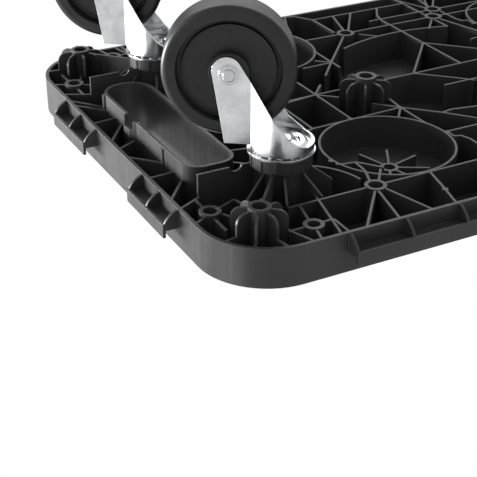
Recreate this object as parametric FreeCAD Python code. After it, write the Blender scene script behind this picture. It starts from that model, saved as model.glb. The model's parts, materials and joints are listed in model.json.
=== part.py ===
"""Folding platform cart: ribbed plastic deck, two swivel and two fixed casters, and a
tubular handle that folds flat on the deck. Millimetres, +Z up, +X towards the hand hole,
origin on the floor below the middle of the deck."""
import FreeCAD, Part
import math
import os

os.makedirs("parts", exist_ok=True)

# ---- driving dimensions -------------------------------------------------------------
# deck
DECK_LENGTH = 730.0
DECK_WIDTH = 440.0
DECK_HEIGHT = 34.0          # from the skirt's lower rim to the top face
DECK_CORNER = 59.0          # plan radius of the corners
SKIRT_WALL = 3.2
TOP_PLATE = 3.5
RIB = 2.2
MAT_THICKNESS = 1.8
# grid on which the rib plan is laid out; it stretches with the deck
PLAN_LENGTH = 730.0
PLAN_WIDTH = 440.0
# hand hole, as plan distances from the end and from the right side
HOLE_NEAR = 24.0
HOLE_DEEP = 70.7
HOLE_RIGHT = 124.0
HOLE_LEFT = 316.0
HOLE_WALL = 2.7
HOLE_DROP = 14.0            # how far the hole's wall hangs below the rim
NOTCH_STEP = 4.5            # the notch stands out this far from the wall
NOTCH_DROP = 6.0            # and the wall is this low in it
NOTCH_Y = (227.0, 234.0, 246.0, 251.0)                  # its corners, in from the right side
HOLE_RIGHT_ROUND = 16.0
HOLE_NEAR_ROUND = 21.0      # rounding of the hole's left end, outer side
HOLE_DEEP_ROUND = 23.0      # and inner side
LUG_RADIUS = 2.4
LUG_Y = (173.0, 300.0)
# strap rail round the skirt
RAIL_REACH = 13.5
RAIL_PLATE = 2.4
RAIL_TOP = 22.5             # height of the outer plate's upper edge above the rim
RAIL_BOTTOM = 11.0
RAIL_SHELF = 14.0
SHELF_THICKNESS = 2.6
RAIL_RIB = 2.4
RIM_LIP = 0.4               # the brackets start this far above the rim
END_RAILS = [(94, 128, 162), (262, 298, 334)]           # brackets along each end rail
SIDE_RAIL = [98 + 50.4 * step for step in range(6)]     # and along the side rail
# caster bosses
CASTER_IN = 93.56           # swivel axis, in from the end
CASTER_SIDE = 98.35         # and in from the side
BOSS_RADIUS = 25.0
BOSS_DROP = 27.0            # boss face below the rim
BOSS_WAIST = 21.5           # radius of the boss above its collar
COLLAR_DROP = 17.0          # where the collar begins, below the rim
SEAM = 1.6                  # width of the collar's seams
GUSSET_REACH = 17.0         # gussets run out this far beyond the collar
GUSSET_DROP = 16.5
WELL_RADIUS = 58.3
# caster
WHEEL_DIAMETER = 104.0
TYRE_WIDTH = 31.4
TYRE_DEPTH = 11.0
TYRE_EDGE = 4.5             # rounding of the tread's edges
BUSH = 12.0
HUB_RADIUS = 15.5
WEB_INSET = 5.5             # wheel disc, in from the tyre's side
RING_IN = 5.7               # raised ring round the disc, in from the tyre
RING = 1.2
RING_RISE = 0.8
GROOVE_DEPTH = 2.4          # groove outside the ring, below the disc
MARK_RADIUS = 2.6           # small round marks on the disc
MARK_CIRCLE = 29.0
TRAIL = 40.7                # axle behind the swivel axis
SWIVEL_REST = {"r": 29.3, "l": 32.5}    # degrees
PLATE_RADIUS = 27.4
PLATE_THICKNESS = 3.0
BALL = 4.0
BALL_GAP = 2.0              # between the swivel plate and the fork's head
BALL_CIRCLE = 21.0
BALL_COUNT = 16
RACE_CLEAR = 0.1
FORK_SHEET = 2.0
FORK_HEAD_RADIUS = 26.5
HEAD_THICKNESS = 3.2
WHEEL_HEAD_GAP = 11.5       # between the fork's head and the tyre
LEG_GAP = 2.0               # between the tyre and a leg
FORK_FOLD = 24.0            # where the legs turn in towards the head
# corners of the fork's side seen from the right: behind the swivel axis, below the head's floor
FORK_BACK = [(24.0, 5.8), (44.4, 6.8)]
FORK_FRONT = [(5.1, 25.6), (-6.6, 10.8), (-12.1, 6.5), (-20.0, 2.3), (-40.0, 1.2)]
FIXED_HALF = 22.0           # half width of a fixed caster's leg at the head
FIXED_SHOULDER = 8.0        # where that leg begins to narrow, below the boss
BEYOND = 60.0               # cutting tools run this far past the caster
LEG_END = 11.4              # radius of the leg's end round the axle
LEG_END_BACK = 1.7          # that round's centre, behind the axle
LEG_END_BELOW = 2.3         # and beyond it
LEG_BOSS = 8.2              # raised seat round the axle
LEG_BOSS_RISE = 0.8
DISH = 12.5                 # radius of the dish in the fork's head
AXLE = 8.0
AXLE_FLANGE = 7.2
AXLE_HEAD = 4.9
AXLE_STUB = 8.0             # axle beyond the nut's seat
KING_BOLT = 10.0
KING_HEAD = 15.0            # across flats
KING_HEAD_HEIGHT = 4.4
NUT_DEPTH = 22.0            # seat of the king nut, below the deck's top
NUT_ACROSS = 17.0
NUT_HEIGHT = 8.0
SMALL_NUT = 13.0            # axle and hinge nuts, across flats
SMALL_NUT_HEIGHT = 6.5
UNTURNED = ("top_plate", "king_bolt", "king_nut")       # parts that don't swivel
RUNNING = 0.06              # radial clearance of a running fit
# folding handle
TUBE = 25.0
TUBE_WALL = 1.5
HANDLE_HALF = 145.0         # centre line of each side tube from the middle
HANDLE_BEND = 58.0
HANDLE_RISE = 22.0          # pivot above the deck
PIVOT_IN = 43.0             # pivot, in from the handle end
HANDLE_TAIL = 10.0          # tube behind the pivot
PLUG_CAP = 3.0
HEEL = 3.5                  # stands out from the tube for the lock to catch
HEEL_HALF = 7.0
HEEL_LENGTH = 8.0
GRIP_LENGTH = 170.0
GRIP_WALL = 2.5
GRIP_PITCH = 10.0           # between finger grooves
HANDLE_CLEAR = 11.0         # between the hand hole and the handle's cross bar
PIVOT_PIN = 8.0
EAR_GAP = 0.6
EAR = 3.0
EAR_ROUND = 13.0            # radius of the ear round the hinge pin
BRACKET_BACK = 38.0
BRACKET_FRONT = 26.0
BRACKET_SCREWS = (-26.0, 14.0)
BASE_THICKNESS = 3.0
PIN_HEAD = 7.5
PIN_HEAD_HEIGHT = 3.5
PEDAL_BACK = 28.0           # pedal shaft behind the pivot
PEDAL_RISE = 12.0
PEDAL_SHAFT = 8.0
CAM_REACH = 11.3
CAM_WIDTH = 16.0
CAM_COLLAR = 6.0
CAM_THICKNESS = 3.2
CAM_REST = 68.0             # the cam's finger, up from level, while the lock is open
PADDLE_WIDTH = 110.0
PADDLE_REACH = 23.0
PADDLE_THICKNESS = 4.5
PADDLE_COLLAR = 7.0
TREAD_PITCH = 4.0
CLIP_LENGTH = 24.0
CLIP_WALL = 3.0
CLIP_GAP = 0.5
CLIP_X = -90.0
SCREW = 6.0
SCREW_DEPTH = 14.0
MAT_SIDE = 30.0             # mat's edge, in from the deck's side
MAT_END = 78.0              # and in from its ends
MAT_CORNER = 22.0
MAT_PITCH = 14.0            # between the grooves along the mat
MAT_GROOVE = 2.0
MAT_GROOVE_DEPTH = 0.8

# ---- derived sizes --------------------------------------------------------------------
WHEEL_RADIUS = WHEEL_DIAMETER / 2
HEAD_TOP = BOSS_DROP + PLATE_THICKNESS + BALL_GAP      # fork head's upper face, below the rim
HEAD_FLOOR = HEAD_TOP + HEAD_THICKNESS
AXLE_DROP = HEAD_FLOOR + WHEEL_HEAD_GAP + WHEEL_RADIUS
RIM_Z = AXLE_DROP + WHEEL_RADIUS
DECK_TOP = RIM_Z + DECK_HEIGHT
PLATE_UNDER = DECK_TOP - TOP_PLATE
RIB_ROOT = PLATE_UNDER + TOP_PLATE / 2                  # ribs run up into the top plate
BALL_Z = RIM_Z - BOSS_DROP - PLATE_THICKNESS - BALL_GAP / 2
NUT_SEAT = DECK_TOP - NUT_DEPTH
LEG_INSIDE = TYRE_WIDTH / 2 + LEG_GAP
LEG_OUTSIDE = LEG_INSIDE + FORK_SHEET
HUB_HALF = LEG_INSIDE - 0.4
PIVOT_X = -DECK_LENGTH / 2 + PIVOT_IN
PIVOT_Z = DECK_TOP + HANDLE_RISE
HOLE_X = DECK_LENGTH / 2 - HOLE_DEEP * DECK_LENGTH / PLAN_LENGTH
CROSS_X = HOLE_X - HANDLE_CLEAR - TUBE / 2 - GRIP_WALL
EAR_INSIDE = TUBE / 2 + EAR_GAP
EAR_OUTSIDE = EAR_INSIDE + EAR
FLANGE_SCREW = EAR_OUTSIDE + 7.5
FLANGE_OUTSIDE = FLANGE_SCREW + 7.0
PEDAL_X = PIVOT_X - PEDAL_BACK
PEDAL_Z = DECK_TOP + PEDAL_RISE


# ---- helpers --------------------------------------------------------------------------
def vec(x, y, z):
    return FreeCAD.Vector(x, y, z)


def place(x, y, z=0.0):
    """A point of the rib plan: x in from the hand-hole end, y in from the right side."""
    return vec(DECK_LENGTH / 2 - x * DECK_LENGTH / PLAN_LENGTH,
               y * DECK_WIDTH / PLAN_WIDTH - DECK_WIDTH / 2, z)


def below(drop):
    """Height of a point that lies drop below the deck's rim."""
    return RIM_Z - drop


def prism(points, vector):
    """A polygon's face extruded along a vector."""
    return Part.Face(Part.makePolygon(points + [points[0]])).extrude(vector)


def cylinder(radius, z_low, z_high, x=0.0, y=0.0):
    return Part.makeCylinder(radius, z_high - z_low, vec(x, y, z_low))


def box(x_low, x_high, y_low, y_high, z_low, z_high):
    return Part.makeBox(x_high - x_low, y_high - y_low, z_high - z_low, vec(x_low, y_low, z_low))


def rounded_wire(corners, z):
    """Closed wire through (x, y, radius) corners, each rounded by an arc."""
    count = len(corners)
    starts = []
    ends = []
    middles = []
    for index, (x, y, radius) in enumerate(corners):
        here = vec(x, y, z)
        back = vec(*corners[index - 1][:2], z) - here
        ahead = vec(*corners[(index + 1) % count][:2], z) - here
        back.normalize()
        ahead.normalize()
        half = back.getAngle(ahead) / 2
        inwards = back + ahead
        inwards.normalize()
        starts.append(here + back * (radius / math.tan(half)))
        ends.append(here + ahead * (radius / math.tan(half)))
        middles.append(here + inwards * (radius / math.sin(half) - radius))
    edges = []
    for index in range(count):
        edges.append(Part.Arc(starts[index], middles[index], ends[index]).toShape())
        follower = starts[(index + 1) % count]
        if ends[index].distanceToPoint(follower) > 1e-6:
            edges.append(Part.makeLine(ends[index], follower))
    return Part.Wire(edges)


def rounded_slab(corners, z_low, z_high):
    return Part.Face(rounded_wire(corners, z_low)).extrude(vec(0, 0, z_high - z_low))


def rectangle(x_low, x_high, y_low, y_high, radius):
    """Corner list of a rectangle with equal rounded corners."""
    return [(x_low, y_low, radius), (x_high, y_low, radius),
            (x_high, y_high, radius), (x_low, y_high, radius)]


def turned(profile, axis_point, axis):
    """Solid of revolution of a closed polygon of points."""
    return Part.Face(Part.makePolygon(profile + [profile[0]])).revolve(axis_point, axis, 360)


def hexagon(across, z_low, z_high):
    radius = across / math.sqrt(3)
    points = []
    for step in range(6):
        angle = math.radians(60 * step)
        points.append(vec(radius * math.cos(angle), radius * math.sin(angle), z_low))
    return prism(points, vec(0, 0, z_high - z_low))


def half_turn(shape):
    copy = shape.copy()
    copy.rotate(vec(0, 0, 0), vec(0, 0, 1), 180)
    return copy


def fuse(shapes):
    return shapes[0].multiFuse(shapes[1:]).removeSplitter()


def save(node, shape):
    shape.exportStep("parts/" + node + ".step")
    print(node, len(shape.Solids), round(shape.Volume / 1000, 2), shape.isValid(), flush=True)


# ---- deck moulding ----------------------------------------------------------------------
def rib(start, end, drop=0.0, end_drop=None, thick=RIB):
    """Upright plate between two plan places, from the top plate down to drop below the rim."""
    if end_drop is None:
        end_drop = drop
    low_start = place(*start, below(drop))
    low_end = place(*end, below(end_drop))
    along = low_end - low_start
    side = vec(-along.y, along.x, 0)
    side.normalize()
    side *= thick / 2
    points = [low_start - side, low_end - side, vec(low_end.x, low_end.y, RIB_ROOT) - side,
              vec(low_start.x, low_start.y, RIB_ROOT) - side]
    return prism(points, side * 2)


def post(x, y, radius, drop=0.0):
    """Round boss or pin at a plan place, reaching drop below the rim."""
    spot = place(x, y)
    return cylinder(radius, below(drop), RIB_ROOT, spot.x, spot.y)


def bore(x, y, radius, drop):
    """Blind hole of a screw boss, open at its lower end."""
    spot = place(x, y)
    return cylinder(radius, below(drop) - 1, PLATE_UNDER, spot.x, spot.y)


def chain(points, drop=0.0):
    """Ribs from each plan place to the next, with round posts at the turns."""
    shapes = [rib(a, b, drop) for a, b in zip(points, points[1:])]
    for x, y in points[1:-1]:
        shapes.append(post(x, y, RIB / 2, drop))
    return shapes


def arc_rib(start, middle, end, drop=0.0, thick=RIB):
    """Upright curved plate through three plan places."""
    z = below(drop)
    path = [place(*point, z) for point in (start, middle, end)]
    circle = Part.Arc(*path).toShape().Curve
    sides = []
    for shift in (-thick / 2, thick / 2):
        factor = 1 + shift / circle.Radius
        sides.append([circle.Center + (point - circle.Center) * factor for point in path])
    near, far = sides
    wire = Part.Wire([Part.Arc(*near).toShape(), Part.makeLine(near[2], far[2]),
                      Part.Arc(far[2], far[1], far[0]).toShape(), Part.makeLine(far[0], near[0])])
    return Part.Face(wire).extrude(vec(0, 0, RIB_ROOT - z))


def petal(x, y, angle, reach, drop, shoulder=8.0):
    """Radial plate of a petal boss, rounded over at its outer lower corner."""
    z = below(drop)
    inner = 5.0
    bend = vec(reach - shoulder, 0, z + shoulder)
    diagonal = shoulder * math.sqrt(0.5)
    corner = Part.Arc(bend - vec(0, 0, shoulder), bend + vec(diagonal, 0, -diagonal),
                      bend + vec(shoulder, 0, 0)).toShape()
    outline = [vec(reach, 0, z + shoulder), vec(reach, 0, RIB_ROOT), vec(inner, 0, RIB_ROOT),
               vec(inner, 0, z), vec(reach - shoulder, 0, z)]
    lines = [Part.makeLine(a, b) for a, b in zip(outline, outline[1:])]
    plate = Part.Face(Part.Wire([corner] + lines)).extrude(vec(0, RIB, 0))
    plate.translate(vec(0, -RIB / 2, 0))
    plate.rotate(vec(0, 0, 0), vec(0, 0, 1), 180 - angle)
    plate.translate(place(x, y))
    return plate


def across(point):
    """A plan place reflected to the left side."""
    return (point[0], PLAN_WIDTH - point[1])


# places that several features share
CASTER = (CASTER_IN * PLAN_LENGTH / DECK_LENGTH, CASTER_SIDE * PLAN_WIDTH / DECK_WIDTH)
CORNER_BOSS = (41.0, 37.5)
WELLS = [(208.6, 116.1), (215.0, 361.0)]
WELL_BOSS = (197.0, 95.0)
CENTRE_BOSS = (253.0, 220.0)
MIDDLE_BOSS = (434.4, 364.4)
ROW_A = 56.0                # long rib beside the right side
ROW_D = 384.0               # and its fellow beside the left
TALL_Y = 107.0              # tall wall that ties the caster boss to the hand hole
TALL_DROP = 18.0
PETAL_TURN = 10.0
FLOWER_FEET = ((4, 33.0), (5, 28.5), (6, 34.0))           # which petals have feet, and their reach
# screw bosses: plan place, outer radius, bore radius, drop
BOSSES = [(CORNER_BOSS, 9.0, 6.0, 19.0), (across(CORNER_BOSS), 9.0, 6.0, 19.0),
          ((19, 76), 9.0, 5.5, 2.0), ((19, 364), 9.0, 5.5, 2.0),
          ((80, 23.5), 8.5, 5.0, 0.5), ((80, 416.5), 8.5, 5.0, 0.5),
          ((157, ROW_A), 9.2, 6.0, 0.5), ((150, ROW_D), 9.2, 6.0, 0.5),
          ((282, ROW_A), 9.2, 6.0, 0.5), ((322, 364), 9.2, 6.0, 0.5),
          (WELL_BOSS, 8.0, 5.0, -10.0), (CENTRE_BOSS, 10.0, 6.5, 17.0)]
# straight ribs that are the same at both sides
SIDE_RIBS = [((2, 93), (24, 104)), ((2, 110), (27, 140)), ((59, 27), (61, 19)), ((61, 19), (68, 1)),
             ((18.5, 83), (18.5, 101)), ((12, 71), (1, 66)), ((18, 69), (18, 46)), ((26, 79), (46, 88)),
             ((46, 88), (50, 70)), ((26, 72), (33, 58)), ((58, 23), (73, 23.5)), ((87, 24), (98, 24)),
             ((98, 24), (98, 1)), ((80, 30), (86, 56)), ((78, 17), (74, 1)), ((108, 75), (91, 1)),
             ((46, 107), (46, 126)), ((71, 150), (100, 125))]
END_RIBS = [((2, 152), (24, 153)), ((2, 196), (25, 171)), ((2, 214), (20, 223)), ((2, 231), (25, 262)),
            ((2, 273), (25, 275)), ((2, 318), (25, 293))]
LONG_RIBS = [((76, ROW_A), (365, ROW_A)), ((152, 49), (113, 1)), ((154, 48), (143, 1)),
             ((161, 48), (174, 1)), ((157, 64), (164, 83)), ((164, 83), (165, 98)), ((164, 62), (177, 79)),
             ((210, 57), (202.5, 25)), ((202.5, 25), (196, 1)), ((278, 50), (240, 1)),
             ((282, 48), (272, 1)), ((286, 49), (305, 1)), ((278, 92), (278, 64))]
MIDDLE_RIBS = [((168, 173), (263, 176)), ((209.5, 175), (209.5, 270)), ((263, 176), (245, 196)),
               ((263, 176), (265, 198)), ((263, 176), (263, 138)), ((263, 176), (250, 160)),
               ((263, 176), (290, 149)), ((290, 149), (302, 151)), ((168, 236), (209, 237)),
               ((209, 237), (400, 239.5)),
               ((209, 237), (226, 256)), ((209, 237), (226, 222)), ((232, 299), (265, 300)),
               ((266, 285), (266, 334)), ((265, 300), (242, 273)), ((265, 300), (316, 358)),
               ((265, 300), (253, 312)), 
               ((71, 220), (209, 237)),
               ((120, 160), (168, 173)), ((71, 170), (120, 160)), ((120, 160), (122, 118)),
               ((71, 290), (120, 280)), ((120, 280), (122, 322)), ((120, 280), (168, 300)),
               ((120, 160), (120, 280)), ((168, 173), (168, 300)), ((168, 300), (209.5, 270)),
               ((168, 300), (178, 316))]
LEFT_RIBS = [((76, ROW_D), (158, ROW_D)), ((145, 391), (113, 439)), ((149, 392), (143, 439)),
             ((153, 391), (174, 439)), ((207, 419), (200, 439)), ((241.5, 413), (250, 439)),
             ((267, 388), (290, 437)), ((273, 365), (314, 364))]
# ribs about the middle of the deck, which the half turn doesn't repeat
MIDDLE_ONCE = [((311, 56), (336, 1)), ((290, 149), (310, 125)), ((302, 151), (327, 146)),
               ((321, 238.5), (377, 302)), ((321, 238.5), (350, 211)), ((350, 211), (363, 197)),
               ((378, 303), (418, 263)), ((378, 239), (378, 380)), ((378, 380), (382, 395)),
               ((382, 395), (395, 416)), ((408, 335), (430, 360)), ((269, 113.5), (330, 113.5)),
               ((330, 56), (310, 125)), ((290, 437), (301, 434)), ((301, 434), (313, 416)),
               ((313, 416), (430, 416)), ((313, 371), (313, 416)), ((325, 372), (338, 416)),
               ((329, 370), (361, 416)), ((333, 355), (348, 340)), ((330, 364), (434, 364.4)),
               ((430, 332), (430, 439)), ((434, 364.4), (500, 364.4)), ((434, 364.4), (470, 439)),
               ((434, 364.4), (452, 300)), ((365, 56), (440, 56)), ((330, 113.5), (440, 113.5)),
               ((365, 2), (365, 197)), ((400, 2), (400, 197)), ((440, 2), (440, 197))]


def shell():
    """Top plate and skirt."""
    half_l = DECK_LENGTH / 2
    half_w = DECK_WIDTH / 2
    outer = rounded_slab(rectangle(-half_l, half_l, -half_w, half_w, DECK_CORNER), RIM_Z, DECK_TOP)
    inner = rounded_slab(rectangle(-half_l + SKIRT_WALL, half_l - SKIRT_WALL, -half_w + SKIRT_WALL,
                                   half_w - SKIRT_WALL, DECK_CORNER - SKIRT_WALL),
                         RIM_Z - 1, PLATE_UNDER)
    return outer.cut(inner)


def rail(places, along, outwards):
    """Strap rail: a shelf and an outer plate, carried by curved brackets at the given places."""
    origin = vec(DECK_LENGTH / 2, -DECK_WIDTH / 2, 0)
    start = places[0] - RAIL_RIB / 2
    run = along * (places[-1] - places[0] + RAIL_RIB)
    inside = -SKIRT_WALL / 2
    plate_in = RAIL_REACH - RAIL_PLATE
    plate_mid = RAIL_REACH - RAIL_PLATE / 2
    shelf_top = RAIL_SHELF + SHELF_THICKNESS

    def at(distance, out, rise):
        return origin + along * distance + outwards * out + vec(0, 0, RIM_Z + rise)

    shelf = prism([at(start, inside, RAIL_SHELF), at(start, plate_mid, RAIL_SHELF),
                   at(start, plate_mid, shelf_top), at(start, inside, shelf_top)], run)
    plate = prism([at(start, plate_in, RAIL_BOTTOM), at(start, RAIL_REACH, RAIL_BOTTOM),
                   at(start, RAIL_REACH, RAIL_TOP), at(start, plate_in, RAIL_TOP)], run)
    pieces = [shelf, plate]
    for distance in places:
        low = distance - RAIL_RIB / 2
        outline = [at(low, plate_mid, RAIL_BOTTOM), at(low, plate_mid, shelf_top),
                   at(low, inside, shelf_top), at(low, inside, RIM_LIP), at(low, 0, RIM_LIP)]
        curve = Part.Arc(outline[-1], at(low, plate_in * 0.62, RAIL_BOTTOM * 0.38), outline[0]).toShape()
        lines = [Part.makeLine(a, b) for a, b in zip(outline, outline[1:])]
        pieces.append(Part.Face(Part.Wire(lines + [curve])).extrude(along * RAIL_RIB))
    return pieces


def rails():
    """Rails at the hand-hole end and along the right side; a half turn makes the others."""
    end_scale = DECK_WIDTH / PLAN_WIDTH
    side_scale = DECK_LENGTH / PLAN_LENGTH
    pieces = rail([place_in * side_scale for place_in in SIDE_RAIL], vec(-1, 0, 0), vec(0, -1, 0))
    for group in END_RAILS:
        pieces += rail([place_in * end_scale for place_in in group], vec(0, 1, 0), vec(1, 0, 0))
    return pieces


def hole_corners(inset):
    """Corners of the hand hole's wall, inset from its outside, with the notch in its outer side."""
    near = HOLE_NEAR + inset
    deep = HOLE_DEEP - inset
    right = HOLE_RIGHT + inset
    left = HOLE_LEFT - inset
    notch = near - NOTCH_STEP
    corners = [(near, right, HOLE_RIGHT_ROUND - inset)]
    corners += [(x, y, 1.5) for x, y in zip((near, notch, notch, near), NOTCH_Y)]
    corners += [(near, left, HOLE_NEAR_ROUND - inset), (deep, left, HOLE_DEEP_ROUND - inset),
                (deep, right, HOLE_RIGHT_ROUND - inset)]
    spots = [(place(x, y), radius) for x, y, radius in corners]
    return [(spot.x, spot.y, radius) for spot, radius in spots]


def hand_hole_wall():
    wall = rounded_slab(hole_corners(0), below(HOLE_DROP), RIB_ROOT)
    low = place(HOLE_NEAR + HOLE_WALL + 2, (NOTCH_Y[0] + NOTCH_Y[1]) / 2)
    high = place(HOLE_NEAR - NOTCH_STEP - 2, (NOTCH_Y[2] + NOTCH_Y[3]) / 2)
    notch = box(low.x, high.x, low.y, high.y, below(HOLE_DROP) - 1, below(NOTCH_DROP))
    lugs = [post(HOLE_NEAR + 0.6, y, LUG_RADIUS, HOLE_DROP - 1) for y in LUG_Y]
    return fuse([wall.cut(notch)] + lugs)


def caster_boss(centre):
    """Round boss that carries a caster: a seamed collar on a narrower waist, and sloping gussets."""
    spot = place(*centre)
    collar = cylinder(BOSS_RADIUS, below(BOSS_DROP), below(COLLAR_DROP), spot.x, spot.y)
    pieces = [post(*centre, BOSS_WAIST, BOSS_DROP - 1), collar]
    for step in range(12):
        seam = box(BOSS_RADIUS - 1, BOSS_RADIUS + 0.7, -SEAM / 2, SEAM / 2,
                   below(BOSS_DROP - 1), below(COLLAR_DROP))
        seam.rotate(vec(0, 0, 0), vec(0, 0, 1), 30 * step + 8)
        seam.translate(spot)
        pieces.append(seam)
    for step in range(8):
        angle = math.radians(45 * step + 22.5)
        ends = [(centre[0] + reach * math.cos(angle), centre[1] + reach * math.sin(angle))
                for reach in (BOSS_WAIST - 2, BOSS_RADIUS + GUSSET_REACH)]
        pieces.append(rib(*ends, GUSSET_DROP, 0))
    return pieces


def corner_flower(centre, turn, sense):
    """Eight rounded petals round the corner boss; three feet tie it to the corner of the skirt."""
    pieces = [petal(*centre, turn + 45 * step * sense, 22, 17) for step in range(8)]
    for step, reach in FLOWER_FEET:
        angle = math.radians(turn + 45 * step * sense)
        foot = (centre[0] + reach * math.cos(angle), centre[1] + reach * math.sin(angle))
        pieces.append(rib(centre, foot))
    return pieces


def tall_wall(side):
    """Tall wall between the hand hole and the caster boss, with a rounded dip near the boss."""
    wall = rib(side((23.5, TALL_Y)), side((CASTER[0] - 15, TALL_Y)), TALL_DROP)
    spot = place(*side((57, TALL_Y)))
    dip = Part.makeCylinder(5.5, 8, vec(spot.x, spot.y - 4, below(TALL_DROP + 1)), vec(0, 1, 0))
    return wall.cut(dip)


def deck_half():
    """Everything below the top plate on one half of the deck, except for the hand hole."""
    pieces = rails()
    pieces += [post(*spot, radius, drop) for spot, radius, _, drop in BOSSES]
    pieces += [rib(*ends) for ends in SIDE_RIBS + END_RIBS + LONG_RIBS + MIDDLE_RIBS + LEFT_RIBS]
    pieces += [rib(across(start), across(end)) for start, end in SIDE_RIBS]
    pieces += corner_flower(CORNER_BOSS, PETAL_TURN, 1)
    pieces += corner_flower(across(CORNER_BOSS), -PETAL_TURN, -1)
    pieces += [petal(*CENTRE_BOSS, 12 + 45 * step, 24, 13) for step in range(8)]
    for step in range(8):
        angle = math.radians(15 + 45 * step)
        end = (WELL_BOSS[0] + 34 * math.cos(angle), WELL_BOSS[1] + 34 * math.sin(angle))
        pieces.append(rib(WELL_BOSS, end, -10))
    for centre in WELLS:
        spot = place(*centre)
        ring = cylinder(WELL_RADIUS + RIB / 2, RIM_Z, RIB_ROOT, spot.x, spot.y)
        pieces.append(ring.cut(cylinder(WELL_RADIUS - RIB / 2, RIM_Z - 1, RIB_ROOT, spot.x, spot.y)))
    pieces.append(arc_rib((152, 71), (146, 91), (130, 110)))
    pieces += chain([(149, 104), (153, 101), (162, 100), (167, 98), (181, 80)])
    pieces += chain([(269, 113), (269, 103), (275, 101), (278, 92), (278, 64)])
    pieces += [post(x, y, 2.6) for x, y in ((149, 111), (209, 175), (269, 113), (202.5, 25))]
    for side in (tuple, across):
        boss_side = side((CASTER[0] - 14, CASTER[1] - 14))
        pieces += [rib(side(CORNER_BOSS), boss_side, 16, 18), tall_wall(side)]
        pieces += caster_boss(side(CASTER))
    return pieces


def screw_places():
    """Where screws enter the deck from above: four for each hinge bracket, two for each clip."""
    places = []
    for side in (-1, 1):
        for flange in (-1, 1):
            y = side * HANDLE_HALF + flange * FLANGE_SCREW
            places += [(PIVOT_X + BRACKET_SCREWS[0], y), (PIVOT_X + BRACKET_SCREWS[1], y), (CLIP_X, y)]
    return places


def deck_moulding():
    half = deck_half()
    handle_end = [rib((25.5, 104), (25.5, 336)), rib((70, TALL_Y), (70, PLAN_WIDTH - TALL_Y)),
                  rib((25.5, 180), (70, 220)), rib((25.5, 260), (70, 220))]
    once = [rib(*ends) for ends in MIDDLE_ONCE] + [arc_rib((297, 327), (365, 342), (430, 332))]
    once.append(post(*MIDDLE_BOSS, 9.2, 0.5))
    pieces = [shell(), hand_hole_wall()] + once + half + [half_turn(piece) for piece in half + handle_end]
    pillar = DECK_TOP - SCREW_DEPTH - 2
    pieces += [cylinder(SCREW + 1, pillar, RIB_ROOT, x, y) for x, y in screw_places()]
    body = fuse(pieces)
    holes = [rounded_slab(hole_corners(HOLE_WALL), below(HOLE_DROP) - 1, DECK_TOP + 1)]
    for spot, _, radius, drop in BOSSES:
        hole = bore(*spot, radius, drop)
        holes += [hole, half_turn(hole)]
    for x, y in caster_places():
        holes.append(cylinder(KING_BOLT / 2, below(BOSS_DROP) - 1, DECK_TOP, x, y))
        pocket = hexagon(NUT_ACROSS + 0.4, NUT_SEAT, DECK_TOP + 1)
        pocket.translate(vec(x, y, 0))
        holes.append(pocket)
    holes.append(bore(*MIDDLE_BOSS, 6.0, 0.5))
    holes += [cylinder(SCREW / 2, DECK_TOP - SCREW_DEPTH, DECK_TOP + 1, x, y) for x, y in screw_places()]
    return body.cut(Part.makeCompound(holes))


def caster_places():
    """Axes of the casters: right and left swivel, right and left fixed."""
    x = DECK_LENGTH / 2 - CASTER_IN
    y = DECK_WIDTH / 2 - CASTER_SIDE
    return [(x, -y), (x, y), (-x, -y), (-x, y)]


# ---- casters ------------------------------------------------------------------------------
def side_disc(radius, y_low, y_high, x, drop):
    """Disc across the caster, from y_low to y_high, at a place behind its axis and below the rim."""
    return Part.makeCylinder(radius, y_high - y_low, vec(x, y_low, below(drop)), vec(0, 1, 0))


def side_prism(points):
    """Prism across the caster over a polygon of (x, drop) points."""
    return prism([vec(x, -BEYOND, below(drop)) for x, drop in points], vec(0, 2 * BEYOND, 0))


def swivel_plate():
    """Round top plate with the upper ball race."""
    plate = fuse([cylinder(PLATE_RADIUS, below(BOSS_DROP + PLATE_THICKNESS), below(BOSS_DROP + 1.2)),
                  cylinder(BOSS_RADIUS - 0.5, below(BOSS_DROP + 2), below(BOSS_DROP))])
    race = Part.makeTorus(BALL_CIRCLE, BALL / 2 + RACE_CLEAR, vec(0, 0, BALL_Z))
    return plate.cut(race).cut(cylinder(KING_BOLT / 2, below(BEYOND), DECK_TOP))


def balls():
    """Ring of bearing balls between the plate and the fork's head."""
    ring = []
    for step in range(BALL_COUNT):
        angle = 2 * math.pi * step / BALL_COUNT
        centre = vec(BALL_CIRCLE * math.cos(angle), BALL_CIRCLE * math.sin(angle), BALL_Z)
        ring.append(Part.makeSphere(BALL / 2, centre))
    return Part.makeCompound(ring)


def fork_outline(inset, tail):
    """Plan of the fork's wall: flat legs that fold out to meet the round head at a tangent."""
    half = LEG_OUTSIDE - inset
    radius = FORK_HEAD_RADIUS - inset
    bearing = math.atan2(half, FORK_FOLD) + math.acos(radius / math.hypot(half, FORK_FOLD))
    touch = (radius * math.cos(bearing), radius * math.sin(bearing))
    points = [vec(touch[0], -touch[1], 0), vec(FORK_FOLD, -half, 0), vec(tail, -half, 0),
              vec(tail, half, 0), vec(FORK_FOLD, half, 0), vec(*touch, 0)]
    edges = [Part.makeLine(a, b) for a, b in zip(points, points[1:])]
    edges.append(Part.Arc(points[-1], vec(-radius, 0, 0), points[0]).toShape())
    return Part.Face(Part.Wire(edges))


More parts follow.
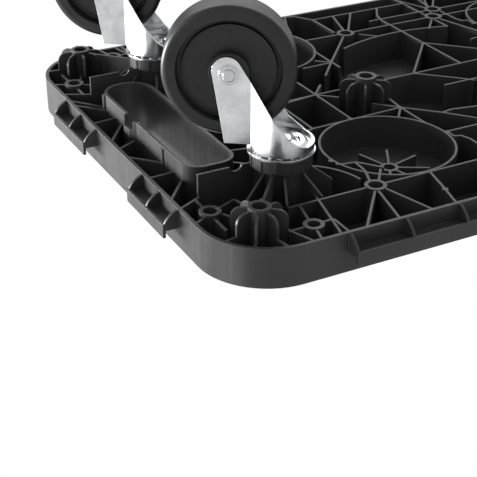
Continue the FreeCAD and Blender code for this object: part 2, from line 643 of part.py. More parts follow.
def swivel_fork():
    """Pressed fork: round head with the lower race, a lip round its front, and two folded legs."""
    depth = AXLE_DROP + 2 * LEG_END
    wall = fork_outline(0, 80).extrude(vec(0, 0, depth)).cut(
        fork_outline(FORK_SHEET, 90).extrude(vec(0, 0, depth)))
    wall.translate(vec(0, 0, below(depth)))
    end_x = TRAIL + LEG_END_BACK
    end_drop = AXLE_DROP + LEG_END_BELOW
    back = [(x, HEAD_FLOOR + drop) for x, drop in FORK_BACK]
    front = [(x, HEAD_FLOOR + drop) for x, drop in FORK_FRONT]
    end = [(end_x + LEG_END, end_drop), (end_x - 9.4, end_drop + 6.5)]
    side = side_prism([(-40, HEAD_TOP), (14, HEAD_TOP), (20, HEAD_TOP + 3)] + back + end + front)
    side = side.fuse(side_disc(LEG_END, -BEYOND, BEYOND, end_x, end_drop))
    head = fork_outline(FORK_SHEET / 2, 80).extrude(vec(0, 0, HEAD_THICKNESS))
    head.translate(vec(0, 0, below(HEAD_FLOOR)))
    head = head.common(box(-60, 20, -BEYOND, BEYOND, 0, DECK_TOP))
    race_ring = cylinder(BOSS_RADIUS - 0.7, below(HEAD_TOP), below(HEAD_TOP - 1))
    crown = turned([vec(14, 0, below(HEAD_FLOOR - 0.5)), vec(15, 0, below(HEAD_FLOOR + 1.9)),
                    vec(18.5, 0, below(HEAD_FLOOR + 1.9)), vec(22, 0, below(HEAD_FLOOR - 0.5))],
                   vec(0, 0, 0), vec(0, 0, 1))
    bosses = []
    for sign in (-1, 1):
        low, high = sorted((sign * (LEG_OUTSIDE - 1), sign * (LEG_OUTSIDE + LEG_BOSS_RISE)))
        bosses.append(side_disc(LEG_BOSS, low, high, TRAIL, AXLE_DROP))
    fork = fuse([wall.common(side), head, race_ring, crown] + bosses)
    axle_hole = side_disc(AXLE / 2, -BEYOND, BEYOND, TRAIL, AXLE_DROP)
    race = Part.makeTorus(BALL_CIRCLE, BALL / 2 + RACE_CLEAR, vec(0, 0, BALL_Z))
    dish = cylinder(DISH, below(BEYOND), below(HEAD_FLOOR - 1))
    centre = cylinder(KING_BOLT / 2 + RUNNING, below(BEYOND), DECK_TOP)
    return fork.cut(Part.makeCompound([axle_hole, race])).cut(dish).cut(centre)


def fixed_fork():
    """Pressed fork of a fixed caster: round head, with a straight leg down each side."""
    head = cylinder(PLATE_RADIUS, below(BOSS_DROP + PLATE_THICKNESS), below(BOSS_DROP))
    half = FIXED_HALF
    shoulder = BOSS_DROP + FIXED_SHOULDER
    foot = LEG_END - 0.5
    side = side_prism([(-half, BOSS_DROP), (half, BOSS_DROP), (half, shoulder),
                       (foot, AXLE_DROP + 3), (-foot, AXLE_DROP + 3), (-half, shoulder)])
    side = side.fuse(side_disc(LEG_END, -BEYOND, BEYOND, 0, AXLE_DROP + 1))
    legs = []
    for sign in (-1, 1):
        low, high = sorted((sign * LEG_INSIDE, sign * LEG_OUTSIDE))
        legs.append(side.common(box(-BEYOND, BEYOND, low, high, 0, DECK_TOP)))
        low, high = sorted((sign * (LEG_OUTSIDE - 1), sign * (LEG_OUTSIDE + LEG_BOSS_RISE)))
        legs.append(side_disc(LEG_BOSS, low, high, 0, AXLE_DROP))
    fork = fuse([head] + legs).cut(side_disc(AXLE / 2, -BEYOND, BEYOND, 0, AXLE_DROP))
    return fork.cut(cylinder(KING_BOLT / 2, below(BEYOND), DECK_TOP))


def king_bolt(head_drop):
    """Bolt up through the fork's head and the boss; its hexagon head starts at head_drop."""
    head = hexagon(KING_HEAD, below(head_drop + KING_HEAD_HEIGHT), below(head_drop))
    return fuse([head, cylinder(KING_BOLT / 2, below(head_drop + 1), NUT_SEAT + NUT_HEIGHT + 2)])


def king_nut():
    nut = hexagon(NUT_ACROSS, NUT_SEAT, NUT_SEAT + NUT_HEIGHT)
    return nut.cut(cylinder(KING_BOLT / 2, below(BEYOND), DECK_TOP + 1))


def tyre():
    half = TYRE_WIDTH / 2
    band = side_disc(WHEEL_RADIUS, -half, half, 0, AXLE_DROP)
    edges = [edge for edge in band.Edges if edge.Length > WHEEL_RADIUS * 6]
    band = band.makeFillet(TYRE_EDGE, edges)
    return band.cut(side_disc(WHEEL_RADIUS - TYRE_DEPTH, -half - 1, half + 1, 0, AXLE_DROP))


def wheel_core():
    """Disc wheel: hub, flat web, a groove and the seat of the tyre."""
    rim = WHEEL_RADIUS - TYRE_DEPTH
    half = TYRE_WIDTH / 2
    web = half - WEB_INSET
    ring = rim - RING_IN
    side = [(BUSH / 2, HUB_HALF), (HUB_RADIUS, HUB_HALF), (HUB_RADIUS + 0.8, web), (ring, web),
            (ring, web + RING_RISE), (ring + RING, web + RING_RISE),
            (ring + RING + 0.6, web - GROOVE_DEPTH), (rim - 1.0, web - GROOVE_DEPTH), (rim, half - 2)]
    outline = [vec(radius, y, 0) for radius, y in side]
    outline += [vec(radius, -y, 0) for radius, y in reversed(side)]
    core = turned(outline, vec(0, 0, 0), vec(0, 1, 0))
    core.translate(vec(0, 0, WHEEL_RADIUS))
    marks = []
    for step in range(3):
        angle = math.radians(120 * step + 30)
        for low in (-web - 0.3, web - 0.5):
            mark = side_disc(MARK_RADIUS, low, low + 0.8, MARK_CIRCLE * math.cos(angle), AXLE_DROP)
            mark.translate(vec(0, 0, MARK_CIRCLE * math.sin(angle)))
            marks.append(mark)
    return fuse([core] + marks)


def bush():
    sleeve = side_disc(BUSH / 2, -HUB_HALF, HUB_HALF, 0, AXLE_DROP)
    return sleeve.cut(side_disc(AXLE / 2 + RUNNING, -BEYOND, BEYOND, 0, AXLE_DROP))


def axle_bolt():
    """Axle with a flanged round head on the right and a stub for the nut on the left."""
    seat = LEG_OUTSIDE + LEG_BOSS_RISE
    flange = side_disc(AXLE_FLANGE, -seat - 1.2, -seat, 0, AXLE_DROP)
    dome = side_disc(AXLE_HEAD, -seat - 3.6, -seat - 1, 0, AXLE_DROP)
    rim_edges = [edge for edge in dome.Edges if edge.BoundBox.YMax < -seat - 3.5]
    dome = dome.makeFillet(1.2, rim_edges)
    return fuse([flange, dome, side_disc(AXLE / 2, -seat - 0.6, seat + AXLE_STUB, 0, AXLE_DROP)])


def axle_nut():
    nut = hexagon(SMALL_NUT, 0, SMALL_NUT_HEIGHT)
    nut.rotate(vec(0, 0, 0), vec(1, 0, 0), -90)
    nut.translate(vec(0, LEG_OUTSIDE + LEG_BOSS_RISE, WHEEL_RADIUS))
    return nut.cut(side_disc(AXLE / 2, -BEYOND, BEYOND, 0, AXLE_DROP))


def set_down(shape, spot, angle, shift=0.0):
    """Move a caster part by shift behind the axis, turn it to its angle and put it in place."""
    moved = shape.copy()
    moved.translate(vec(shift, 0, 0))
    moved.rotate(vec(0, 0, 0), vec(0, 0, 1), angle)
    moved.translate(vec(spot[0], spot[1], 0))
    return moved


def make_casters():
    names = ["swivel_r", "swivel_l", "fixed_r", "fixed_l"]
    wheel_parts = {"tyre": tyre(), "wheel_core": wheel_core(), "wheel_bush": bush(),
                   "axle_bolt": axle_bolt(), "axle_nut": axle_nut()}
    swivel_parts = {"top_plate": swivel_plate(), "bearing_balls": balls(), "fork": swivel_fork(),
                    "king_bolt": king_bolt(HEAD_FLOOR - 0.8), "king_nut": king_nut()}
    fixed_parts = {"fork": fixed_fork(), "king_bolt": king_bolt(BOSS_DROP + PLATE_THICKNESS),
                   "king_nut": king_nut()}
    for name, spot in zip(names, caster_places()):
        swivels = name.startswith("swivel")
        angle = SWIVEL_REST[name[-1]] if swivels else 0.0
        for part, shape in (swivel_parts if swivels else fixed_parts).items():
            save(name + "_" + part, set_down(shape, spot, 0.0 if part in UNTURNED else angle))
        for part, shape in wheel_parts.items():
            save(name + "_" + part, set_down(shape, spot, angle, TRAIL if swivels else 0.0))


# ---- folding handle -------------------------------------------------------------------------
def bent_tube(radius):
    """Solid U along the handle's centre line, from one tail round to the other."""
    start = PIVOT_X - HANDLE_TAIL
    turn = HANDLE_BEND * math.sqrt(0.5)
    bend_x = CROSS_X - HANDLE_BEND
    bend_y = HANDLE_HALF - HANDLE_BEND
    corners = []
    for side in (-1, 1):
        corners.append(Part.Arc(vec(bend_x, side * HANDLE_HALF, PIVOT_Z),
                                vec(bend_x + turn, side * (bend_y + turn), PIVOT_Z),
                                vec(CROSS_X, side * bend_y, PIVOT_Z)).toShape())
    path = Part.Wire([Part.makeLine(vec(start, -HANDLE_HALF, PIVOT_Z), vec(bend_x, -HANDLE_HALF, PIVOT_Z)),
                      corners[0],
                      Part.makeLine(vec(CROSS_X, -bend_y, PIVOT_Z), vec(CROSS_X, bend_y, PIVOT_Z)),
                      corners[1],
                      Part.makeLine(vec(bend_x, HANDLE_HALF, PIVOT_Z), vec(start, HANDLE_HALF, PIVOT_Z))])
    section = Part.Wire(Part.makeCircle(radius, vec(start, -HANDLE_HALF, PIVOT_Z), vec(1, 0, 0)))
    return path.makePipeShell([section], True, False)


def across_rod(radius, x, z, y_low, y_high):
    return Part.makeCylinder(radius, y_high - y_low, vec(x, y_low, z), vec(0, 1, 0))


def handle_tube():
    tube = bent_tube(TUBE / 2).cut(bent_tube(TUBE / 2 - TUBE_WALL))
    return tube.cut(across_rod(PIVOT_PIN / 2 + RUNNING, PIVOT_X, PIVOT_Z, -DECK_WIDTH, DECK_WIDTH))


def handle_grip():
    """Sleeve on the cross bar, with shallow finger grooves."""
    radius = TUBE / 2 + GRIP_WALL
    half = GRIP_LENGTH / 2
    grip = across_rod(radius, CROSS_X, PIVOT_Z, -half, half)
    grip = grip.makeFillet(1.5, [edge for edge in grip.Edges if edge.Length > radius * 6])
    grooves = []
    for step in range(-7, 8):
        grooves.append(Part.makeTorus(radius + 0.9, 1.6, vec(CROSS_X, step * GRIP_PITCH, PIVOT_Z),
                                      vec(0, 1, 0)))
    grip = grip.cut(Part.makeCompound(grooves))
    return grip.cut(across_rod(TUBE / 2, CROSS_X, PIVOT_Z, -half - 1, half + 1))


def end_plug(side):
    """Plug in the tube's tail, with a heel on top that the lock catches when the handle stands."""
    tail = PIVOT_X - HANDLE_TAIL
    y = side * HANDLE_HALF
    cap = Part.makeCylinder(TUBE / 2, PLUG_CAP, vec(tail - PLUG_CAP, y, PIVOT_Z), vec(1, 0, 0))
    stem = Part.makeCylinder(TUBE / 2 - TUBE_WALL, 5, vec(tail - 1, y, PIVOT_Z), vec(1, 0, 0))
    top = PIVOT_Z + TUBE / 2
    heel = fuse([box(tail - PLUG_CAP, tail, y - HEEL_HALF, y + HEEL_HALF, top - 4, top + HEEL),
                 box(tail - PLUG_CAP, tail + HEEL_LENGTH, y - HEEL_HALF, y + HEEL_HALF, top, top + HEEL)])
    return fuse([cap, stem, heel])


def ear(side, sign):
    """One ear of a hinge bracket, with the holes of the hinge pin and the lock's shaft."""
    low, high = sorted((sign * EAR_INSIDE, sign * EAR_OUTSIDE))
    y = side * HANDLE_HALF
    outline = [(-BRACKET_BACK, 0), (BRACKET_FRONT, 0), (BRACKET_FRONT, 4), (11.5, HANDLE_RISE + 6),
               (-5, HANDLE_RISE + 12), (-PEDAL_BACK - 4, PEDAL_RISE + 8), (-BRACKET_BACK, PEDAL_RISE)]
    plate = prism([vec(PIVOT_X + x, y + low, DECK_TOP + z) for x, z in outline], vec(0, high - low, 0))
    return fuse([plate, across_rod(EAR_ROUND, PIVOT_X, PIVOT_Z, y + low, y + high)])


def hinge_bracket(side):
    y = side * HANDLE_HALF
    base = box(PIVOT_X - BRACKET_BACK, PIVOT_X + BRACKET_FRONT, y - FLANGE_OUTSIDE, y + FLANGE_OUTSIDE,
               DECK_TOP, DECK_TOP + BASE_THICKNESS)
    upright = [edge for edge in base.Edges if abs(edge.Length - BASE_THICKNESS) < 1e-6]
    bracket = fuse([base.makeFillet(6, upright), ear(side, -1), ear(side, 1)])
    cuts = [across_rod(PIVOT_PIN / 2, PIVOT_X, PIVOT_Z, -DECK_WIDTH, DECK_WIDTH),
            across_rod(PEDAL_SHAFT / 2 + RUNNING, PEDAL_X, PEDAL_Z, -DECK_WIDTH, DECK_WIDTH)]
    for flange in (-1, 1):
        for x in BRACKET_SCREWS:
            cuts.append(cylinder(SCREW / 2, DECK_TOP - 1, PIVOT_Z, PIVOT_X + x, y + flange * FLANGE_SCREW))
    return bracket.cut(Part.makeCompound(cuts))


def hinge_pin(side):
    """Pivot bolt: round head outside the outer ear, and room for its nut inside the inner one."""
    outside = side * (HANDLE_HALF + EAR_OUTSIDE)
    inside = side * (HANDLE_HALF - EAR_OUTSIDE - SMALL_NUT_HEIGHT - 0.5)
    head = across_rod(PIN_HEAD, PIVOT_X, PIVOT_Z, *sorted((outside, outside + side * PIN_HEAD_HEIGHT)))
    return fuse([head, across_rod(PIVOT_PIN / 2, PIVOT_X, PIVOT_Z, *sorted((inside, outside)))])


def hinge_nut(side):
    inside = side * (HANDLE_HALF - EAR_OUTSIDE)
    nut = hexagon(SMALL_NUT, 0, SMALL_NUT_HEIGHT)
    nut.rotate(vec(0, 0, 0), vec(1, 0, 0), 90 * side)
    nut.translate(vec(PIVOT_X, inside, PIVOT_Z))
    return nut.cut(across_rod(PIVOT_PIN / 2, PIVOT_X, PIVOT_Z, -DECK_WIDTH, DECK_WIDTH))


def screw(x, y, seat):
    """Round-headed screw whose head rests at seat."""
    head = cylinder(SCREW * 0.9, seat, seat + 3.4, x, y)
    head = head.makeFillet(1.2, [edge for edge in head.Edges if edge.BoundBox.ZMin > seat + 3.3])
    recess = hexagon(3.6, seat + 1.6, seat + 4)
    recess.translate(vec(x, y, 0))
    return fuse([head, cylinder(SCREW / 2, DECK_TOP - SCREW_DEPTH + 1, seat + 1, x, y)]).cut(recess)


def bracket_screws(side):
    screws = []
    for flange in (-1, 1):
        for x in BRACKET_SCREWS:
            y = side * HANDLE_HALF + flange * FLANGE_SCREW
            screws.append(screw(PIVOT_X + x, y, DECK_TOP + BASE_THICKNESS))
    return Part.makeCompound(screws)


def clip_screws():
    screws = []
    for side in (-1, 1):
        for flange in (-1, 1):
            y = side * HANDLE_HALF + flange * FLANGE_SCREW
            screws.append(screw(CLIP_X, y, DECK_TOP + CLIP_WALL))
    return Part.makeCompound(screws)


def handle_clip(side):
    """Saddle that the folded tube drops into."""
    y = side * HANDLE_HALF
    inside = TUBE / 2 + CLIP_GAP
    x_low = CLIP_X - CLIP_LENGTH / 2
    x_high = CLIP_X + CLIP_LENGTH / 2
    base = box(x_low, x_high, y - FLANGE_OUTSIDE, y + FLANGE_OUTSIDE, DECK_TOP, DECK_TOP + CLIP_WALL)
    cradle = box(x_low, x_high, y - inside - CLIP_WALL, y + inside + CLIP_WALL, DECK_TOP, PIVOT_Z + 3)
    upper = [edge for edge in cradle.Edges if edge.BoundBox.ZMin > PIVOT_Z and edge.BoundBox.XLength > 1]
    cradle = cradle.makeFillet(1.2, upper)
    channel = fuse([Part.makeCylinder(inside, CLIP_LENGTH + 2, vec(x_low - 1, y, PIVOT_Z), vec(1, 0, 0)),
                    box(x_low - 1, x_high + 1, y - inside, y + inside, PIVOT_Z, PIVOT_Z + 20)])
    clip = fuse([base, cradle]).cut(channel)
    holes = [cylinder(SCREW / 2, DECK_TOP - 1, PIVOT_Z, CLIP_X, y + flange * FLANGE_SCREW)
             for flange in (-1, 1)]
    return clip.cut(Part.makeCompound(holes))


def lock_shaft():
    reach = HANDLE_HALF + EAR_OUTSIDE + 3
    return across_rod(PEDAL_SHAFT / 2, PEDAL_X, PEDAL_Z, -reach, reach)


def lock_cam(side):
    """Catch on the lock's shaft, between the ears of a bracket."""
    y = side * HANDLE_HALF
    low = y - CAM_WIDTH / 2
    collar = across_rod(CAM_COLLAR, PEDAL_X, PEDAL_Z, low, low + CAM_WIDTH)
    finger = box(0, CAM_REACH, low, low + CAM_WIDTH, -CAM_THICKNESS / 2, CAM_THICKNESS / 2)
    finger.rotate(vec(0, 0, 0), vec(0, 1, 0), -CAM_REST)
    finger.translate(vec(PEDAL_X, 0, PEDAL_Z))
    shaft = across_rod(PEDAL_SHAFT / 2, PEDAL_X, PEDAL_Z, -DECK_WIDTH, DECK_WIDTH)
    return fuse([collar, finger]).cut(shaft)


def lock_pedal():
    """Foot pedal on the middle of the lock's shaft, ribbed on top."""
    half = PADDLE_WIDTH / 2
    tip = PEDAL_X - PADDLE_REACH
    collar = across_rod(PADDLE_COLLAR, PEDAL_X, PEDAL_Z, -half, half)
    blade = box(tip, PEDAL_X, -half, half, PEDAL_Z - 2.0, PEDAL_Z - 2.0 + PADDLE_THICKNESS)
    corners = [edge for edge in blade.Edges
               if edge.BoundBox.ZLength > 4 and edge.BoundBox.XMax < PEDAL_X - 1]
    blade = blade.makeFillet(6, corners)
    treads = [box(tip + 3 + TREAD_PITCH * step, tip + 4.6 + TREAD_PITCH * step,
                  -half + 8, half - 8, PEDAL_Z + 2, PEDAL_Z + 3.3) for step in range(3)]
    pedal = fuse([collar, blade] + treads)
    return pedal.cut(across_rod(PEDAL_SHAFT / 2, PEDAL_X, PEDAL_Z, -DECK_WIDTH, DECK_WIDTH))


# ---- deck mat ---------------------------------------------------------------------------------
def deck_mat():
    """Rubber mat on the deck, grooved along its length and cut out round the clips."""
    x_end = DECK_LENGTH / 2 - MAT_END
    y_end = DECK_WIDTH / 2 - MAT_SIDE
    top = DECK_TOP + MAT_THICKNESS
    mat = rounded_slab(rectangle(-x_end, x_end, -y_end, y_end, MAT_CORNER), DECK_TOP, top)
    last = int((y_end - MAT_CORNER) / MAT_PITCH)
    cuts = []
    for step in range(-last, last):
        middle = (step + 0.5) * MAT_PITCH
        cuts.append(box(MAT_CORNER - x_end, x_end - MAT_CORNER, middle - MAT_GROOVE / 2,
                        middle + MAT_GROOVE / 2, top - MAT_GROOVE_DEPTH, top + 1))
    for side in (-1, 1):
        y = side * HANDLE_HALF
        reach = FLANGE_OUTSIDE + 1.5
        half = CLIP_LENGTH / 2 + 1.5
        cuts.append(box(CLIP_X - half, CLIP_X + half, y - reach, y + reach, DECK_TOP - 1, DECK_TOP + 9))
        cuts.append(box(-DECK_LENGTH, PIVOT_X + BRACKET_FRONT + 2, y - reach, y + reach,
                        DECK_TOP - 1, DECK_TOP + 9))
    return mat.cut(Part.makeCompound(cuts))


save("deck_moulding", deck_moulding())
save("deck_mat", deck_mat())
make_casters()
save("handle_tube", handle_tube())
save("handle_grip", handle_grip())
for letter, side in (("r", -1), ("l", 1)):
    save("handle_plug_" + letter, end_plug(side))
    save("hinge_bracket_" + letter, hinge_bracket(side))
    save("hinge_pin_" + letter, hinge_pin(side))
    save("hinge_nut_" + letter, hinge_nut(side))
    save("bracket_screws_" + letter, bracket_screws(side))
    save("handle_clip_" + letter, handle_clip(side))
    save("lock_cam_" + letter, lock_cam(side))
save("clip_screws", clip_screws())
save("lock_shaft", lock_shaft())
save("lock_pedal", lock_pedal())
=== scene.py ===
import json
import math

import bpy
from mathutils import Matrix, Vector


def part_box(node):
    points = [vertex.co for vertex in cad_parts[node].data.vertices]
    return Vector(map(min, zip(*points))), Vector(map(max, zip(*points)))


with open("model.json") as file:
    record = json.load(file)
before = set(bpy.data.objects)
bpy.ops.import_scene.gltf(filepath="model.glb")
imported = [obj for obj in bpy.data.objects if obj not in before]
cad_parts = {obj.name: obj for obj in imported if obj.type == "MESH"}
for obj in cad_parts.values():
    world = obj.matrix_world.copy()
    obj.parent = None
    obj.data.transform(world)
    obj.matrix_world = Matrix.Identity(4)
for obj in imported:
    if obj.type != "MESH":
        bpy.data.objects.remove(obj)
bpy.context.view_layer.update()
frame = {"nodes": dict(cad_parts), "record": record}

# Folding platform cart. Everything is in metres in the frame's own axes: +Z up, +X towards
# the hand hole, wheels on the floor at z = 0. The camera looks up at the underside, with
# its own top turned towards the floor.

NODES = frame["nodes"]
MICRON = 1e-6
WHITE = (1.0, 1.0, 1.0, 1.0)

# ---- places read from the frame ----------------------------------------------------------
RAIL_REACH = 0.0135                     # strap rails stand out this far from the skirt
SKIRT_HEIGHT = 0.034
deck_low, deck_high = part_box("deck_moulding")
END_X = deck_high.x - RAIL_REACH        # skirt at the hand-hole end
SIDE_Y = deck_low.y + RAIL_REACH        # skirt at the right side
RIM_Z = deck_high.z - SKIRT_HEIGHT      # lower edge of the skirt


# ---- node helpers --------------------------------------------------------------------------
MIX_INPUTS = (6, 7)                     # colour sockets A and B of a Mix node
MIX_RESULT = 2
ROUNDING_SAMPLES = 6
EDGE_SAMPLES = 4


class Shader:
    """A material whose Principled shader is fed by procedural textures in object space."""

    def __init__(self, name, roughness, metallic=0.0, specular=0.5):
        self.material = bpy.data.materials.new(name)
        self.material.use_nodes = True
        self.nodes = self.material.node_tree.nodes
        self.links = self.material.node_tree.links
        self.bsdf = self.nodes["Principled BSDF"]
        self.bsdf.inputs["Metallic"].default_value = metallic
        self.bsdf.inputs["Roughness"].default_value = roughness
        self.bsdf.inputs["Specular IOR Level"].default_value = specular
        self.coordinates = self.nodes.new("ShaderNodeTexCoord").outputs["Object"]

    def node(self, kind, **inputs):
        """A new node, its inputs set by name with _ for a space."""
        made = self.nodes.new(kind)
        for key, value in inputs.items():
            made.inputs[key.replace("_", " ")].default_value = value
        return made

    def join(self, source, target):
        self.links.new(source, target)

    def stretched(self, x, y, z):
        """Object coordinates scaled along each axis."""
        mapping = self.nodes.new("ShaderNodeMapping")
        mapping.inputs["Scale"].default_value = (x, y, z)
        self.join(self.coordinates, mapping.inputs["Vector"])
        return mapping.outputs["Vector"]

    def noise(self, scale, detail=3.0, roughness=0.5, vector=None):
        texture = self.node("ShaderNodeTexNoise", Scale=scale, Detail=detail, Roughness=roughness)
        self.join(self.coordinates if vector is None else vector, texture.inputs["Vector"])
        return texture.outputs["Fac"]

    def cells(self, scale, vector=None):
        texture = self.node("ShaderNodeTexVoronoi", Scale=scale)
        self.join(self.coordinates if vector is None else vector, texture.inputs["Vector"])
        return texture.outputs["Distance"]

    def spread(self, factor, low, high, start=0.3, end=0.7):
        """A factor between start and end mapped onto low to high."""
        mapped = self.node("ShaderNodeMapRange", From_Min=start, From_Max=end, To_Min=low, To_Max=high)
        self.join(factor, mapped.inputs["Value"])
        return mapped.outputs["Result"]

    def combine(self, operation, first, second):
        """Two factors, or a factor and a number, joined by a Math node."""
        made = self.nodes.new("ShaderNodeMath")
        made.operation = operation
        for socket, value in zip(made.inputs, (first, second)):
            if isinstance(value, (int, float)):
                socket.default_value = value
            else:
                self.join(value, socket)
        return made.outputs["Value"]

    def tint(self, factor, dark, light):
        """Colour between dark and light by a factor."""
        mixed = self.nodes.new("ShaderNodeMix")
        mixed.data_type = "RGBA"
        self.join(factor, mixed.inputs[0])
        for index, colour in zip(MIX_INPUTS, (dark, light)):
            if isinstance(colour, tuple):
                mixed.inputs[index].default_value = (*colour, 1.0)
            else:
                self.join(colour, mixed.inputs[index])
        return mixed.outputs[MIX_RESULT]

    def colour(self, socket):
        self.join(socket, self.bsdf.inputs["Base Color"])

    def gloss(self, socket):
        self.join(socket, self.bsdf.inputs["Roughness"])

    def relief(self, rounding, *layers):
        """Edges rounded over a radius, then bump from (height, depth in metres) layers."""
        bevel = self.nodes.new("ShaderNodeBevel")
        bevel.samples = ROUNDING_SAMPLES
        bevel.inputs["Radius"].default_value = rounding
        normal = bevel.outputs["Normal"]
        for height, depth in layers:
            bump = self.node("ShaderNodeBump", Strength=1.0, Distance=depth)
            self.join(height, bump.inputs["Height"])
            self.join(normal, bump.inputs["Normal"])
            normal = bump.outputs["Normal"]
        self.join(normal, self.bsdf.inputs["Normal"])

    def edges(self, radius, start, end):
        """1 on edges rounded over radius, 0 on flat faces."""
        bevel = self.nodes.new("ShaderNodeBevel")
        bevel.samples = EDGE_SAMPLES
        bevel.inputs["Radius"].default_value = radius
        geometry = self.nodes.new("ShaderNodeNewGeometry")
        dot = self.nodes.new("ShaderNodeVectorMath")
        dot.operation = "DOT_PRODUCT"
        self.join(bevel.outputs["Normal"], dot.inputs[0])
        self.join(geometry.outputs["Normal"], dot.inputs[1])
        return self.spread(dot.outputs["Value"], 1.0, 0.0, start, end)


def moulded_plastic(name, dark, light, rough_low, rough_high):
    """Satin moulded plastic: fine grain, cloudy colour, draw streaks, and edges lightened partly as scuff
    wear and partly as a painted highlight.
    """
    shader = Shader(name, 0.45, specular=0.32)
    cloud = shader.noise(scale=9.0, detail=4.0)
    grain = shader.noise(scale=1400.0, detail=2.0)
    streaks = shader.noise(scale=1.0, detail=3.0, vector=shader.stretched(260, 260, 9))
    scuffs = shader.noise(scale=1.0, detail=5.0, roughness=0.7, vector=shader.stretched(60, 45, 90))
    base = shader.tint(shader.spread(cloud, 0, 1), dark, light)
    # Rounded edges in scuffed patches are painted lighter: partly scuff wear, partly a painted highlight
    # on edges and rib tops.
    worn_and_highlight = tuple(2.0 * value + 0.01 for value in light)
    scuffed = shader.spread(scuffs, 0.0, 0.8, start=0.42, end=0.62)
    rubbed_and_highlit_edges = shader.combine("MULTIPLY", shader.edges(900 * MICRON, start=0.55, end=0.98), scuffed)
    shader.colour(shader.tint(rubbed_and_highlit_edges, base, worn_and_highlight))
    satin = shader.spread(streaks, rough_low, rough_high)
    shader.gloss(shader.combine("ADD", satin, shader.spread(scuffs, -0.03, 0.05)))
    shader.relief(600 * MICRON, (streaks, 40 * MICRON), (grain, 30 * MICRON))
    return shader.material


def rubber(name, dark, light, roughness):
    """Dull rubber: dusty patches over a fine pitted grain."""
    shader = Shader(name, roughness, specular=0.35)
    dust = shader.noise(scale=38.0, detail=6.0, roughness=0.65)
    pits = shader.noise(scale=1800.0, detail=2.0)
    shader.colour(shader.tint(shader.spread(dust, 0, 1, start=0.35, end=0.7), dark, light))
    shader.gloss(shader.spread(dust, roughness - 0.1, roughness + 0.08))
    shader.relief(500 * MICRON, (dust, 30 * MICRON), (pits, 30 * MICRON))
    return shader.material


def zinc(name, dark, light, rough_low, rough_high, rolled=(700, 700, 22)):
    """Bright zinc on pressed steel: cloudy plating, rolling lines and small scratches."""
    shader = Shader(name, 0.25, metallic=1.0)
    cloud = shader.noise(scale=55.0, detail=5.0, roughness=0.6)
    lines = shader.noise(scale=1.0, detail=4.0, roughness=0.6, vector=shader.stretched(*rolled))
    specks = shader.cells(scale=420.0)
    base = shader.tint(shader.spread(cloud, 0, 1), dark, light)
    spots = shader.combine("MULTIPLY", shader.spread(specks, 1.0, 0.0, start=0.0, end=0.16), 0.25)
    dull = tuple(0.6 * value for value in dark)
    shader.colour(shader.tint(spots, base, dull))
    cloudy = shader.spread(cloud, rough_low, rough_high)
    shader.gloss(shader.combine("ADD", cloudy, shader.spread(lines, -0.03, 0.04)))
    shader.relief(400 * MICRON, (cloud, 60 * MICRON), (lines, 10 * MICRON))
    return shader.material


BARE_STEEL = (0.35, 0.34, 0.33)


def powder_coat(name, dark, light):
    """Black powder coat: orange-peel skin with a few bright chips on the edges."""
    shader = Shader(name, 0.42)
    peel = shader.noise(scale=900.0, detail=2.0)
    cloud = shader.noise(scale=30.0, detail=4.0)
    chips = shader.noise(scale=160.0, detail=4.0, roughness=0.7)
    chipped = shader.spread(chips, 0.0, 1.0, start=0.52, end=0.6)
    edge = shader.combine("MULTIPLY", shader.edges(800 * MICRON, start=0.5, end=0.95), chipped)
    base = shader.tint(shader.spread(cloud, 0, 1), dark, light)
    shader.colour(shader.tint(edge, base, BARE_STEEL))
    shader.gloss(shader.spread(cloud, 0.36, 0.5))
    shader.relief(600 * MICRON, (peel, 60 * MICRON))
    return shader.material


# Directions that the finish runs in, as texture scale along X, Y and Z.
EVEN = (500, 500, 500)
ALONG_TUBE = (14, 700, 700)

MATERIALS = {
    "deck_plastic": moulded_plastic(
        "deck_plastic", (0.021, 0.021, 0.022), (0.034, 0.034, 0.035), 0.34, 0.46),
    "mat_rubber": rubber(
        "mat_rubber", (0.022, 0.022, 0.023), (0.04, 0.039, 0.038), 0.7),
    "tyre_rubber": rubber(
        "tyre_rubber", (0.008, 0.008, 0.009), (0.015, 0.015, 0.016), 0.40),
    "core_plastic": moulded_plastic(
        "core_plastic", (0.010, 0.010, 0.011), (0.016, 0.016, 0.017), 0.38, 0.5),
    "zinc_sheet": zinc(
        "zinc_sheet", (0.56, 0.57, 0.59), (0.82, 0.83, 0.84), 0.15, 0.26),
    "fastener_zinc": zinc(
        "fastener_zinc", (0.52, 0.53, 0.55), (0.76, 0.77, 0.79), 0.2, 0.36, EVEN),
    "bracket_steel": powder_coat(
        "bracket_steel", (0.016, 0.016, 0.017), (0.026, 0.026, 0.027)),
    "tube_chrome": zinc(
        "tube_chrome", (0.58, 0.59, 0.61), (0.78, 0.79, 0.81), 0.14, 0.24, ALONG_TUBE),
    "grip_rubber": rubber(
        "grip_rubber", (0.018, 0.018, 0.019), (0.03, 0.03, 0.031), 0.66),
    "fitting_plastic": moulded_plastic(
        "fitting_plastic", (0.016, 0.016, 0.017), (0.026, 0.026, 0.027), 0.4, 0.52),
}


# ---- CAD nodes ---------------------------------------------------------------------------------
def dress_nodes():
    """Every CAD node wears the material of its slot."""
    for part in frame["record"]["subparts"]:
        materials = NODES[part["node"]].data.materials
        materials.clear()
        materials.append(MATERIALS[part["material_slot"]])


dress_nodes()


# ---- floor, light and camera -----------------------------------------------------------------
FLOOR_HALF = 6.0
FLOOR_DARK = (0.78, 0.78, 0.78)
FLOOR_LIGHT = (0.84, 0.84, 0.84)


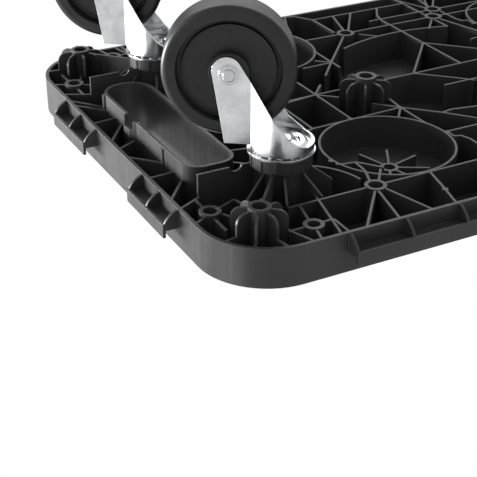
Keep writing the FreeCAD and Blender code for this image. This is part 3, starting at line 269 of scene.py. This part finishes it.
def one_sided_floor():
    """Pale matt floor that shows from above and is clear from below, where the camera is."""
    shader = Shader("floor", 0.7)
    cloud = shader.noise(scale=3.0, detail=4.0)
    shader.colour(shader.tint(shader.spread(cloud, 0, 1), FLOOR_DARK, FLOOR_LIGHT))
    clear = shader.nodes.new("ShaderNodeBsdfTransparent")
    choose = shader.nodes.new("ShaderNodeMixShader")
    geometry = shader.nodes.new("ShaderNodeNewGeometry")
    output = shader.nodes["Material Output"]
    shader.join(geometry.outputs["Backfacing"], choose.inputs[0])
    shader.join(shader.bsdf.outputs[0], choose.inputs[1])
    shader.join(clear.outputs[0], choose.inputs[2])
    shader.join(choose.outputs[0], output.inputs["Surface"])
    mesh = bpy.data.meshes.new("floor")
    corners = [(x * FLOOR_HALF, y * FLOOR_HALF, 0) for x, y in ((-1, -1), (1, -1), (1, 1), (-1, 1))]
    mesh.from_pydata(corners, [], [(0, 1, 2, 3)])
    mesh.materials.append(shader.material)
    floor = bpy.data.objects.new("floor", mesh)
    bpy.context.scene.collection.objects.link(floor)
    floor.visible_shadow = False
    floor.visible_diffuse = False
    floor.visible_glossy = False


LIT_POINT = Vector((0.1, 0.0, RIM_Z))
SOFTBOXES = {                           # place, width, height and power in watts
    "back_low": ((-0.5, 1.3, -1.3), 2.2, 1.4, 18),
    "end_panel": ((1.8, 1.1, 0.2), 1.6, 0.5, 115),
    "end_front": ((1.95, -0.35, 1.15), 1.0, 0.8, 9),
    "overhead": ((-0.4, 0.5, 2.2), 2.0, 2.0, 30),
}


def softbox(name, place, width, height, power):
    """A rectangular lamp turned towards the cart, which the camera doesn't see."""
    light = bpy.data.lights.new(name, "AREA")
    light.shape = "RECTANGLE"
    light.size = width
    light.size_y = height
    light.energy = power
    lamp = bpy.data.objects.new(name, light)
    lamp.location = place
    lamp.rotation_euler = (LIT_POINT - Vector(place)).to_track_quat("-Z", "Y").to_euler()
    lamp.visible_camera = False
    bpy.context.scene.collection.objects.link(lamp)


def white_world(seen, cast):
    """White behind everything, and a softer even light on the object."""
    world = bpy.data.worlds.new("studio")
    world.use_nodes = True
    nodes = world.node_tree.nodes
    links = world.node_tree.links
    background = nodes["Background"]
    path = nodes.new("ShaderNodeLightPath")
    strength = nodes.new("ShaderNodeMapRange")
    strength.inputs["To Min"].default_value = cast
    strength.inputs["To Max"].default_value = seen
    links.new(path.outputs["Is Camera Ray"], strength.inputs["Value"])
    links.new(strength.outputs["Result"], background.inputs["Strength"])
    background.inputs["Color"].default_value = WHITE
    bpy.context.scene.world = world


CAMERA_AHEAD = 0.3415                   # beyond the hand-hole end
CAMERA_ASIDE = 0.6565                   # out from the right side
CAMERA_BELOW = 0.4425                   # below the skirt's rim
CAMERA_YAW = 0.484                      # radians, from +Y towards -X
CAMERA_PITCH = 0.518                    # radians, upwards
LENS = 91.4                             # millimetres
CLIP_START = 0.01
BACKDROP = 1.0                          # white as the camera sees it
CAST = 0.78                             # and as it lights the object


def place_camera():
    """Beyond and below the right corner of the hand-hole end, looking up, top side down."""
    level = math.cos(CAMERA_PITCH)
    forward = Vector((-math.sin(CAMERA_YAW) * level, math.cos(CAMERA_YAW) * level, math.sin(CAMERA_PITCH)))
    right = Vector((-math.cos(CAMERA_YAW), -math.sin(CAMERA_YAW), 0))
    back = -forward
    up = back.cross(right)
    data = bpy.data.cameras.new("camera")
    data.lens = LENS
    data.clip_start = CLIP_START
    camera = bpy.data.objects.new("camera", data)
    axes = Matrix((right, up, back)).transposed().to_4x4()
    spot = Vector((END_X + CAMERA_AHEAD, SIDE_Y - CAMERA_ASIDE, RIM_Z - CAMERA_BELOW))
    camera.matrix_world = Matrix.Translation(spot) @ axes
    bpy.context.scene.collection.objects.link(camera)
    bpy.context.scene.camera = camera


one_sided_floor()
white_world(BACKDROP, CAST)
for name, setting in SOFTBOXES.items():
    softbox(name, *setting)
place_camera()
bpy.context.scene.view_settings.view_transform = "Standard"
